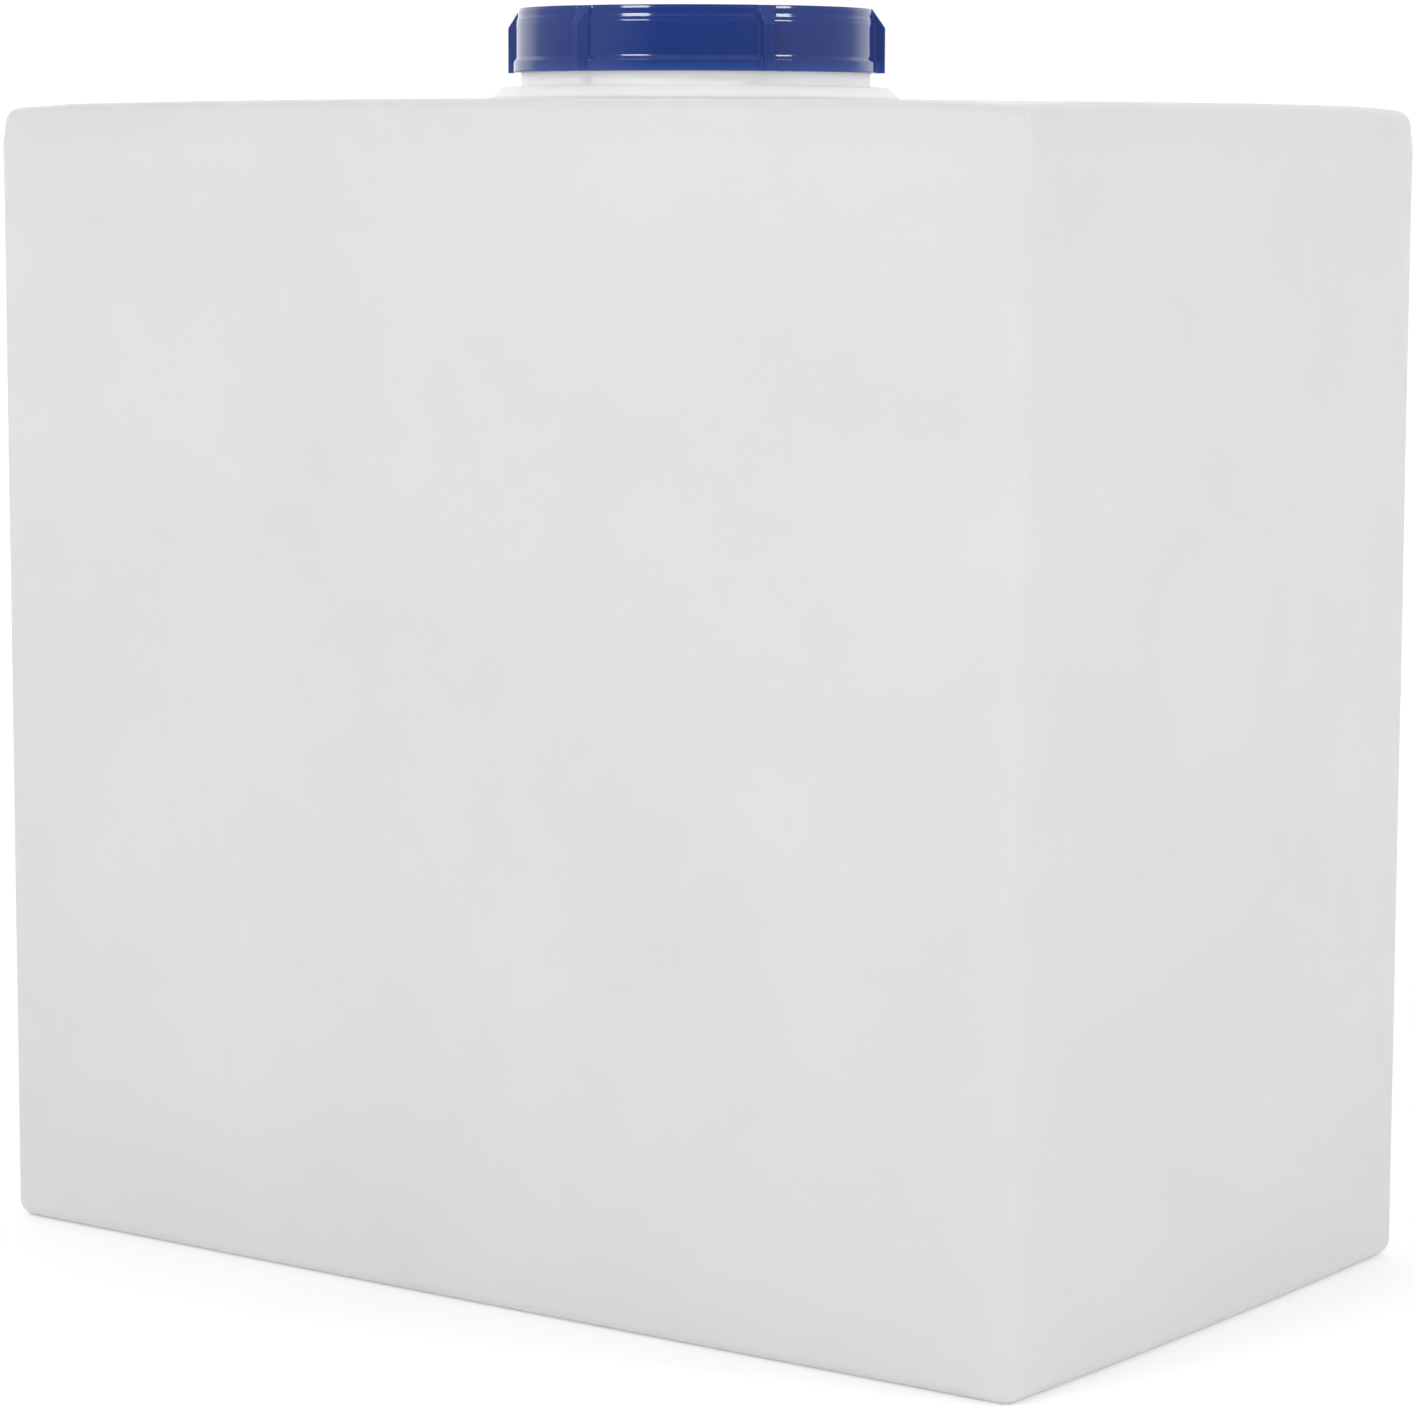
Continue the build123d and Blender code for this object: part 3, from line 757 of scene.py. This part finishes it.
def breather_cap():
    """Cap over the vent: fluted skirt, slotted all round, standing on a slotted ring."""
    low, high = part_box("breather_cap")
    radius = (high.x - low.x) / 2 / MM
    bottom, top = low.z / MM, high.z / MM
    plate = top - CAP_PLATE
    ring_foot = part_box("breather_body")[1].z / MM
    outline = rounded(
        [
            (CAP_HUB, plate, 0),
            (CAP_FOOT_INNER, plate, 0.2),
            (CAP_FOOT_INNER, ring_foot, 0.2),
            (CAP_FOOT_OUTER, ring_foot, 0.2),
            (CAP_FOOT_OUTER, plate, 0.2),
            (radius - CAP_SKIRT, plate, 0.3),
            (radius - CAP_SKIRT, bottom, 0.3),
            (radius, bottom, 0.3),
            (radius, top, 1.0),
            (radius - 3.4, top, 0.2),
            (radius - 3.8, top - CAP_RECESS, 0.2),
            (CAP_HUB, top - CAP_RECESS, 0),
        ]
    )

    def fluted(angles, at, height):
        radii = level(angles, at)
        if at < radius - 0.2:
            return radii
        from_foot = min(1.0, max(0.0, (height - bottom - 0.3) / 0.5))
        from_top = min(1.0, max(0.0, (top - 0.7 - height) / 0.7))
        wave = (0.5 + 0.5 * np.cos(CAP_FLUTES * angles)) ** 2
        return radii - CAP_FLUTE_DEPTH * (from_foot * from_top) * wave

    divided = []
    for here, after in zip(outline, outline[1:]):
        divided += divide(here, after, 0.6) if here[0] > radius - 0.2 else [here]
    verts, faces = skin(lathe(divided + [outline[-1]], even_angles(CAP_FLUTES * 8), fluted), closed=False)
    cap = new_piece("breather_slotted_cap", verts, faces, "lid", ["breather_cap"])
    half = CAP_SLOT / 2
    verts, faces = [], []
    for k in range(6):
        a = k * math.pi / 3
        box = block(CAP_SLOT_START, radius + 2.0, half, bottom - 1.0, plate)
        faces += [tuple(i + len(verts) for i in face) for face in BOX_FACES]
        c, sn = math.cos(a), math.sin(a)
        verts += [(x * c - y * sn, x * sn + y * c, z) for x, y, z in box]
    cut(cap, verts, faces)
    return cap


def connector_nut(name, height):
    """Back nut on the connector's thread, against the slip washer."""
    low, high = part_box(f"{name}_nut")
    thickness = (high.x - low.x) / MM
    rows = hexagon_nut((high.z - low.z) / MM, thickness, CONNECTOR_SIZES[name]["engaged"])
    for row in rows:
        row[:, 2] += REAR_FACE - high.x / MM
    verts, faces = skin(to_rear_wall(rows, height), closed=True)
    return new_piece(f"{name}_back_nut", verts, faces, "tank", [f"{name}_nut"])


# ---------------------------------------------------------------- materials


def nodes_of(name):
    material = bpy.data.materials.new(name)
    material.use_nodes = True
    tree = material.node_tree
    shader = tree.nodes["Principled BSDF"]
    return material, tree, shader


def noise_node(tree, scale, detail, rough, coords, distortion=0.0):
    node = tree.nodes.new("ShaderNodeTexNoise")
    node.inputs["Scale"].default_value = scale
    node.inputs["Detail"].default_value = detail
    node.inputs["Roughness"].default_value = rough
    node.inputs["Distortion"].default_value = distortion
    tree.links.new(coords, node.inputs["Vector"])
    return node.outputs["Fac"]


def object_coords(tree):
    return tree.nodes.new("ShaderNodeTexCoord").outputs["Object"]


def ramp(tree, value, stops):
    node = tree.nodes.new("ShaderNodeValToRGB")
    elements = node.color_ramp.elements
    elements[0].position, elements[0].color = stops[0][0], (*stops[0][1], 1.0)
    elements[1].position, elements[1].color = stops[-1][0], (*stops[-1][1], 1.0)
    for position, color in stops[1:-1]:
        element = elements.new(position)
        element.color = (*color, 1.0)
    tree.links.new(value, node.inputs["Fac"])
    return node.outputs["Color"]


def grey_ramp(tree, value, stops):
    return ramp(tree, value, [(position, (grey, grey, grey)) for position, grey in stops])


def height_of(tree, coords):
    axes = tree.nodes.new("ShaderNodeSeparateXYZ")
    tree.links.new(coords, axes.inputs["Vector"])
    return axes.outputs["Z"]


def blend(tree, share, first, second):
    """Colour that goes from the first to the second as share goes from 0 to 1."""
    node = tree.nodes.new("ShaderNodeMix")
    node.data_type = "RGBA"
    tree.links.new(share, node.inputs["Factor"])
    tree.links.new(first, node.inputs["A"])
    tree.links.new(second, node.inputs["B"])
    return node.outputs["Result"]


def span(tree, value, low, high, from_low=0.3, from_high=0.7):
    """Value mapped from one range, at first the usual one of a noise node, to another."""
    node = tree.nodes.new("ShaderNodeMapRange")
    node.inputs["From Min"].default_value = from_low
    node.inputs["From Max"].default_value = from_high
    node.inputs["To Min"].default_value = low
    node.inputs["To Max"].default_value = high
    tree.links.new(value, node.inputs["Value"])
    return node.outputs["Result"]


def bump(tree, value, distance, strength=1.0, normal=None):
    node = tree.nodes.new("ShaderNodeBump")
    node.inputs["Strength"].default_value = strength
    node.inputs["Distance"].default_value = distance
    tree.links.new(value, node.inputs["Height"])
    if normal is not None:
        tree.links.new(normal, node.inputs["Normal"])
    return node.outputs["Normal"]


def polyethylene():
    """Natural white rotationally moulded polyethylene: faint cloudy mottling, satin, fine orange peel. The
    neck and boss are painted lighter and glow: painted light for light through the thin wall and against the
    shade under the lid.
    """
    material, tree, shader = nodes_of("natural_polyethylene")
    coords = object_coords(tree)
    height = height_of(tree, coords)
    cloud = noise_node(tree, 9.0, 4.0, 0.55, coords)
    wall = grey_ramp(tree, cloud, [(0.3, 0.639), (0.7, 0.669)])
    # Painted light: a lighter copy of the tank's colour for the neck and boss, standing in for light through
    # the thin wall and lifting the shade under the lid.
    neck = ramp(tree, cloud, [(0.3, (0.87, 0.865, 0.845)), (0.7, (0.89, 0.885, 0.865))])
    color = blend(tree, span(tree, height, 0.0, 1.0, *NECK_PAINTED_LIGHT_BLEND), wall, neck)
    tree.links.new(color, shader.inputs["Base Color"])
    # Painted light: the neck glows by height, for light through its thin wall and against the shade under the
    # lid and at the boss's rim.
    foot, top = NECK_PAINTED_GLOW[0][0], NECK_PAINTED_GLOW[-1][0]
    stops = [((at - foot) / (top - foot), glow) for at, glow in NECK_PAINTED_GLOW]
    glow = grey_ramp(tree, span(tree, height, 0.0, 1.0, foot, top), stops)
    tree.links.new(glow, shader.inputs["Emission Strength"])
    shader.inputs["Emission Color"].default_value = (1.0, 1.0, 1.0, 1.0)
    rough = span(tree, noise_node(tree, 30.0, 3.0, 0.5, coords), 0.36, 0.46)
    tree.links.new(rough, shader.inputs["Roughness"])
    peel = bump(tree, noise_node(tree, 420.0, 2.0, 0.5, coords), 0.00006, 0.6)
    soft = bump(tree, noise_node(tree, 28.0, 2.0, 0.5, coords), 0.0005, 0.22, peel)
    tree.links.new(soft, shader.inputs["Normal"])
    shader.inputs["IOR"].default_value = 1.5
    shader.inputs["Subsurface Weight"].default_value = 0.85
    shader.subsurface_method = "BURLEY"
    shader.inputs["Subsurface Radius"].default_value = (1.0, 1.0, 1.0)
    shader.inputs["Subsurface Scale"].default_value = 0.004
    return material


def lid_blue():
    """Glossy royal blue injection moulding. Its foot is painted a lighter blue: painted light thrown up from
    the white tank below.
    """
    material, tree, shader = nodes_of("blue_moulding")
    coords = object_coords(tree)
    flow = noise_node(tree, 22.0, 3.0, 0.5, coords, 0.4)
    side = ramp(tree, flow, [(0.25, (0.0115, 0.035, 0.195)), (0.75, (0.0145, 0.041, 0.225))])
    # Painted light: a lighter blue on the lid's foot, for light thrown up from the white tank below.
    foot = ramp(tree, flow, [(0.25, (0.018, 0.056, 0.28)), (0.75, (0.021, 0.062, 0.31))])
    color = blend(tree, span(tree, height_of(tree, coords), 0.0, 1.0, *LID_FOOT_PAINTED_LIGHT_BLEND), side, foot)
    tree.links.new(color, shader.inputs["Base Color"])
    rough = span(tree, noise_node(tree, 60.0, 3.0, 0.6, coords), 0.07, 0.12)
    tree.links.new(rough, shader.inputs["Roughness"])
    grain = bump(tree, noise_node(tree, 900.0, 2.0, 0.5, coords), 0.00001, 0.5)
    wave = bump(tree, noise_node(tree, 45.0, 1.0, 0.5, coords), 0.00012, 0.5, grain)
    tree.links.new(wave, shader.inputs["Normal"])
    shader.inputs["IOR"].default_value = 1.5
    return material


def moulded(name, dark, light, rough_low, rough_high, grain=700.0, depth=0.00003):
    """Plain moulded plastic or rubber with faint colour variation, uneven gloss and a fine grain."""
    material, tree, shader = nodes_of(name)
    coords = object_coords(tree)
    color = ramp(tree, noise_node(tree, 70.0, 4.0, 0.6, coords), [(0.3, dark), (0.7, light)])
    tree.links.new(color, shader.inputs["Base Color"])
    rough = span(tree, noise_node(tree, 160.0, 3.0, 0.6, coords), rough_low, rough_high)
    tree.links.new(rough, shader.inputs["Roughness"])
    tree.links.new(bump(tree, noise_node(tree, grain, 3.0, 0.6, coords), depth, 0.7), shader.inputs["Normal"])
    return material


def paint(piece, material):
    piece.data.materials.clear()
    piece.data.materials.append(material)


# ---------------------------------------------------------------- build

white = polyethylene()
blue = lid_blue()
rubber = moulded("black_rubber", (0.012, 0.012, 0.013), (0.022, 0.022, 0.024), 0.55, 0.75)
black = moulded("black_polypropylene", (0.016, 0.016, 0.017), (0.027, 0.027, 0.029), 0.3, 0.45)
pale = moulded("natural_polypropylene", (0.50, 0.50, 0.48), (0.58, 0.58, 0.56), 0.35, 0.5)

by_slot = {
    "tank_polyethylene": white,
    "lid_plastic": blue,
    "seal_rubber": rubber,
    "fitting_plastic": black,
    "washer_plastic": pale,
    "disc_plastic": pale,
}
for entry in frame["record"]["subparts"]:
    paint(frame["nodes"][entry["node"]], by_slot[entry["material_slot"]])

paint(tank(), white)
for name, height in connector_heights().items():
    paint(wall_pad(name, height, CONNECTOR_SIZES[name]["hole"], flange_radius(name) + PAD_MARGIN), white)
    paint(connector_body(name, height), black)
    paint(connector_nut(name, height), black)
paint(lid(), blue)
paint(breather_nut(), black)
paint(breather_cap(), black)


# ---------------------------------------------------------------- stage, light and camera


def floor():
    """Pale floor. Its glow grows with distance, so that its far edge melts into the backdrop."""
    mesh = bpy.data.meshes.new("floor")
    corners = [(x * FLOOR_HALF, y * FLOOR_HALF, 0) for x, y in ((-1, -1), (1, -1), (1, 1), (-1, 1))]
    mesh.from_pydata(corners, [], [(0, 1, 2, 3)])
    plane = add_object("floor", mesh)
    material, tree, shader = nodes_of("pale_floor")
    coords = object_coords(tree)
    color = grey_ramp(tree, noise_node(tree, 6.0, 3.0, 0.5, coords), [(0.3, 0.90), (0.7, 0.92)])
    tree.links.new(color, shader.inputs["Base Color"])
    shader.inputs["Roughness"].default_value = 0.9
    shader.inputs["Specular IOR Level"].default_value = 0.0
    shader.inputs["Emission Color"].default_value = (1, 1, 1, 1)
    away = tree.nodes.new("ShaderNodeVectorMath")
    away.operation = "LENGTH"
    tree.links.new(coords, away.inputs[0])
    glow = span(tree, away.outputs["Value"], 0.2, 0.36, 0.8, 2.2)
    tree.links.new(glow, shader.inputs["Emission Strength"])
    paint(plane, material)


def camera():
    """Sets the photograph's viewpoint."""
    back = Vector((math.sin(CAMERA_AZIMUTH), -math.cos(CAMERA_AZIMUTH), 0))
    right = Vector((math.cos(CAMERA_AZIMUTH), math.sin(CAMERA_AZIMUTH), 0))
    up = Vector((0, 0, 1))
    view_up = up * math.cos(CAMERA_PITCH) - back * math.sin(CAMERA_PITCH)
    view_back = back * math.cos(CAMERA_PITCH) + up * math.sin(CAMERA_PITCH)
    tilted_right = right * math.cos(CAMERA_ROLL) + view_up * math.sin(CAMERA_ROLL)
    tilted_up = view_up * math.cos(CAMERA_ROLL) - right * math.sin(CAMERA_ROLL)
    data = bpy.data.cameras.new("camera")
    data.sensor_width = CAMERA_SENSOR
    data.lens = CAMERA_LENS
    eye = add_object("camera", data)
    axes = Matrix((tilted_right, tilted_up, view_back)).transposed().to_4x4()
    place = back * CAMERA_BACK + right * CAMERA_ASIDE + up * CAMERA_HEIGHT
    eye.matrix_world = Matrix.Translation(place) @ axes
    bpy.context.scene.camera = eye


def softbox(name, azimuth, elevation, distance, width, height, watts):
    """Rectangular light round the object, in degrees (azimuth from the photograph's side) and metres."""
    data = bpy.data.lights.new(name, "AREA")
    data.shape = "RECTANGLE"
    data.size = width
    data.size_y = height
    data.energy = watts
    light = add_object(name, data)
    a = CAMERA_AZIMUTH + math.radians(azimuth)
    e = math.radians(elevation)
    away = distance * Vector((math.sin(a) * math.cos(e), -math.cos(a) * math.cos(e), math.sin(e)))
    light.location = LIGHT_TARGET + away
    light.rotation_euler = away.to_track_quat("Z", "Y").to_euler()
    return light


def surround():
    """Soft white studio. Matt surfaces see one light, glossy ones see one with a dimmer front, and the
    backdrop is white."""
    world = bpy.data.worlds.new("studio")
    bpy.context.scene.world = world
    world.use_nodes = True
    tree = world.node_tree
    even = tree.nodes["Background"]
    coords = tree.nodes.new("ShaderNodeTexCoord").outputs["Generated"]
    dot = tree.nodes.new("ShaderNodeVectorMath")
    dot.operation = "DOT_PRODUCT"
    dot.inputs[1].default_value = (math.sin(CAMERA_AZIMUTH), -math.cos(CAMERA_AZIMUTH), 0)
    tree.links.new(coords, dot.inputs[0])
    facing = span(tree, dot.outputs["Value"], 0.0, 1.0, -1.0, 1.0)
    even_glow = grey_ramp(tree, facing, [(0.0, 0.9), (0.3, 0.62), (0.7, 0.5), (1.0, 0.42)])
    back_half = [(0.0, 1.0), (0.17, 0.97), (0.265, 0.45), (0.5, 0.42)]
    front_half = [(0.68, 0.5), (0.82, 0.42), (0.95, 0.11), (1.0, 0.09)]
    glossy_glow = grey_ramp(tree, facing, back_half + front_half)
    tree.links.new(even_glow, even.inputs["Color"])
    even.inputs["Strength"].default_value = 1.37
    shiny = tree.nodes.new("ShaderNodeBackground")
    tree.links.new(glossy_glow, shiny.inputs["Color"])
    shiny.inputs["Strength"].default_value = 1.38
    backdrop = tree.nodes.new("ShaderNodeBackground")
    backdrop.inputs["Color"].default_value = (1, 1, 1, 1)
    backdrop.inputs["Strength"].default_value = 1.05
    path = tree.nodes.new("ShaderNodeLightPath")
    gloss = tree.nodes.new("ShaderNodeMixShader")
    tree.links.new(path.outputs["Is Glossy Ray"], gloss.inputs["Fac"])
    tree.links.new(even.outputs["Background"], gloss.inputs[1])
    tree.links.new(shiny.outputs["Background"], gloss.inputs[2])
    seen = tree.nodes.new("ShaderNodeMixShader")
    tree.links.new(path.outputs["Is Camera Ray"], seen.inputs["Fac"])
    tree.links.new(gloss.outputs["Shader"], seen.inputs[1])
    tree.links.new(backdrop.outputs["Background"], seen.inputs[2])
    tree.links.new(seen.outputs["Shader"], tree.nodes["World Output"].inputs["Surface"])


floor()
camera()
surround()
softbox("softbox_left", -43.5, 39.0, 3.0, 0.82, 0.42, 17.0)
softbox("softbox_right", 63.0, 36.0, 3.0, 0.5, 0.45, 11.5)
softbox("fill_front", 4.0, 9.0, 3.2, 2.4, 1.0, 12.5).visible_glossy = False
bpy.context.scene.view_settings.view_transform = "Standard"
